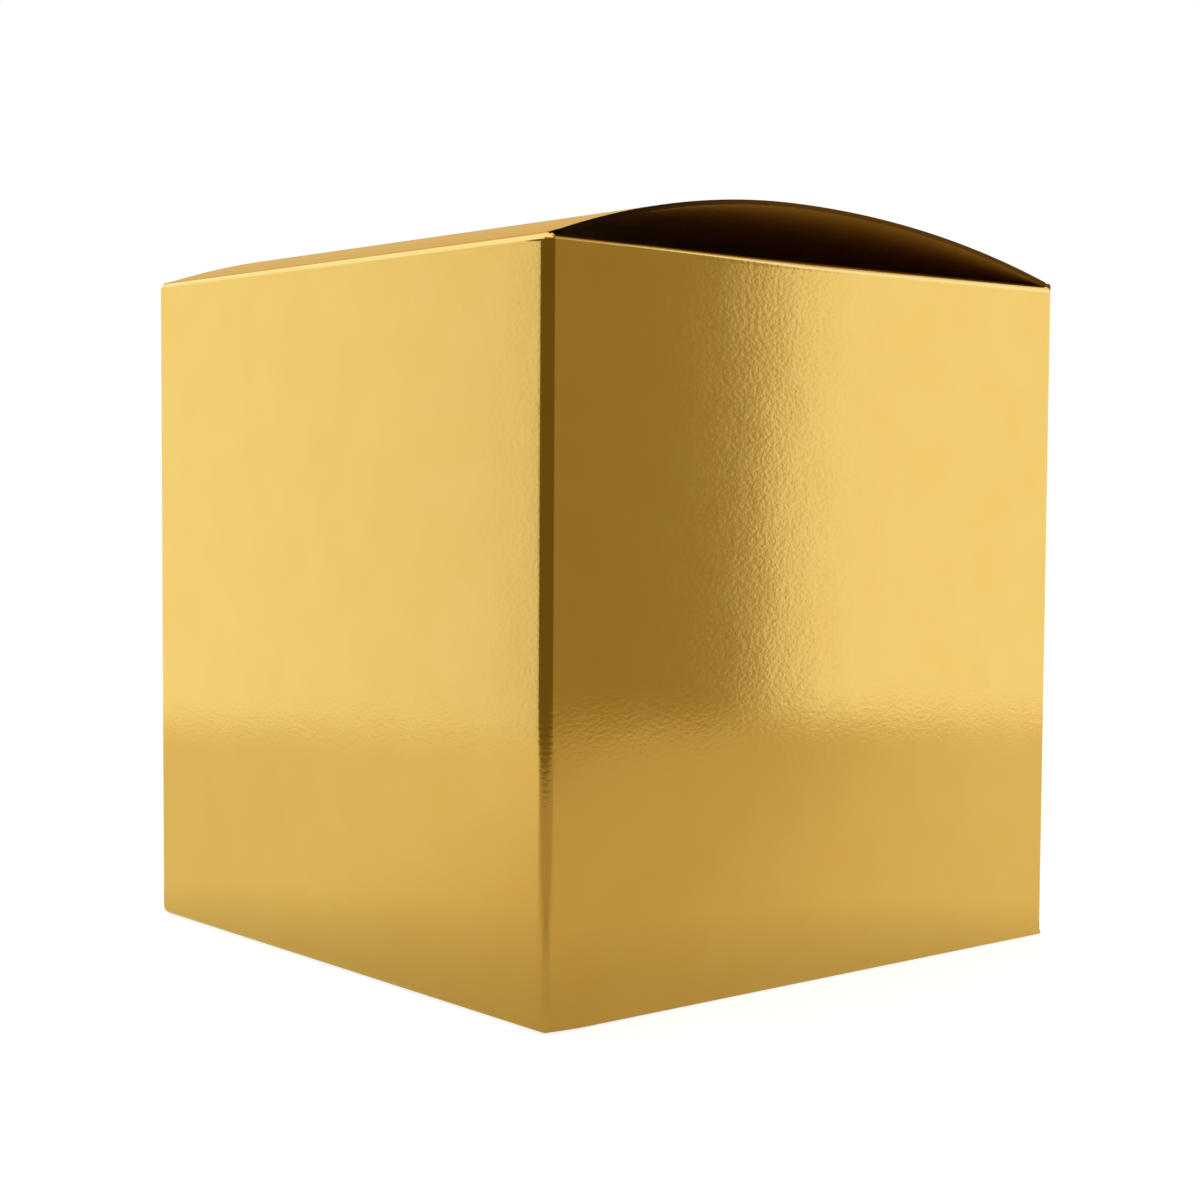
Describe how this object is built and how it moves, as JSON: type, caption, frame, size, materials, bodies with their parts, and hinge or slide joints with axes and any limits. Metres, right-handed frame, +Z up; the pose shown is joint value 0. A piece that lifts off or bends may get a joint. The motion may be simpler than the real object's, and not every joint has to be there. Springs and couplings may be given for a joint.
{
  "type": "favor box",
  "caption": "Cube favor box folded from gold foil board, with a bowed tuck-in lid, dust flaps and a tuck-in bottom.",
  "frame": {"origin": "middle of the base, on the surface the box stands on", "axes": "+Z up; +Y towards the back wall, which the lid hinges on; -Y towards the front wall, which the lid tucks in behind; +X towards the right wall"},
  "size_m": [0.076, 0.076, 0.0827],
  "materials": {
    "gold_foil_board": "satin",
    "glue": "matte"
  },
  "bodies": {
    "carton": {"front_wall": "gold_foil_board", "back_wall": "gold_foil_board", "left_wall": "gold_foil_board", "right_wall": "gold_foil_board", "glue_tab": "gold_foil_board", "seam_glue": "glue", "back_left_crease": "gold_foil_board", "back_right_crease": "gold_foil_board", "front_left_crease": "gold_foil_board", "glue_tab_crease": "gold_foil_board", "lid_hinge_crease": "gold_foil_board", "top_left_crease": "gold_foil_board", "top_right_crease": "gold_foil_board", "bottom_hinge_crease": "gold_foil_board", "bottom_left_crease": "gold_foil_board", "bottom_right_crease": "gold_foil_board"},
    "lid": {"lid_panel": "gold_foil_board", "lid_tuck_crease": "gold_foil_board"},
    "lid_tuck": {"lid_tuck_flap": "gold_foil_board"},
    "top_left_flap": {"top_left_dust_flap": "gold_foil_board"},
    "top_right_flap": {"top_right_dust_flap": "gold_foil_board"},
    "bottom": {"bottom_panel": "gold_foil_board", "bottom_tuck_crease": "gold_foil_board"},
    "bottom_tuck": {"bottom_tuck_flap": "gold_foil_board"},
    "bottom_left_flap": {"bottom_left_dust_flap": "gold_foil_board"},
    "bottom_right_flap": {"bottom_right_dust_flap": "gold_foil_board"}
  },
  "joints": [
    {"name": "lid_hinge", "type": "hinge", "parent": "carton", "child": "lid", "pos_m": [0, 0.037, 0.0763], "axis": [-1, 0, 0], "range_deg": [0, 160]},
    {"name": "lid_tuck_fold", "type": "hinge", "parent": "lid", "child": "lid_tuck", "pos_m": [0, -0.0362, 0.0763], "axis": [-1, 0, 0], "range_deg": [0, 64]},
    {"name": "top_left_fold", "type": "hinge", "parent": "carton", "child": "top_left_flap", "pos_m": [-0.037, 0, 0.07575], "axis": [0, -1, 0], "range_deg": [0, 96]},
    {"name": "top_right_fold", "type": "hinge", "parent": "carton", "child": "top_right_flap", "pos_m": [0.037, 0, 0.07575], "axis": [0, 1, 0], "range_deg": [0, 96]},
    {"name": "bottom_hinge", "type": "hinge", "parent": "carton", "child": "bottom", "pos_m": [0, 0.037, 0.001], "axis": [1, 0, 0], "range_deg": [0, 160]},
    {"name": "bottom_tuck_fold", "type": "hinge", "parent": "bottom", "child": "bottom_tuck", "pos_m": [0, -0.0362, 0.001], "axis": [1, 0, 0], "range_deg": [0, 64]},
    {"name": "bottom_left_fold", "type": "hinge", "parent": "carton", "child": "bottom_left_flap", "pos_m": [-0.037, 0, 0.00155], "axis": [0, 1, 0], "range_deg": [0, 96]},
    {"name": "bottom_right_fold", "type": "hinge", "parent": "carton", "child": "bottom_right_flap", "pos_m": [0.037, 0, 0.00155], "axis": [0, -1, 0], "range_deg": [0, 96]}
  ],
  "couplings": [
    {"joint": "lid_tuck_fold", "follows": "lid_hinge", "ratio": 0.4},
    {"joint": "top_left_fold", "follows": "lid_hinge", "ratio": 0.6},
    {"joint": "top_right_fold", "follows": "lid_hinge", "ratio": 0.6},
    {"joint": "bottom_tuck_fold", "follows": "bottom_hinge", "ratio": 0.4},
    {"joint": "bottom_left_fold", "follows": "bottom_hinge", "ratio": 0.6},
    {"joint": "bottom_right_fold", "follows": "bottom_hinge", "ratio": 0.6}
  ]
}
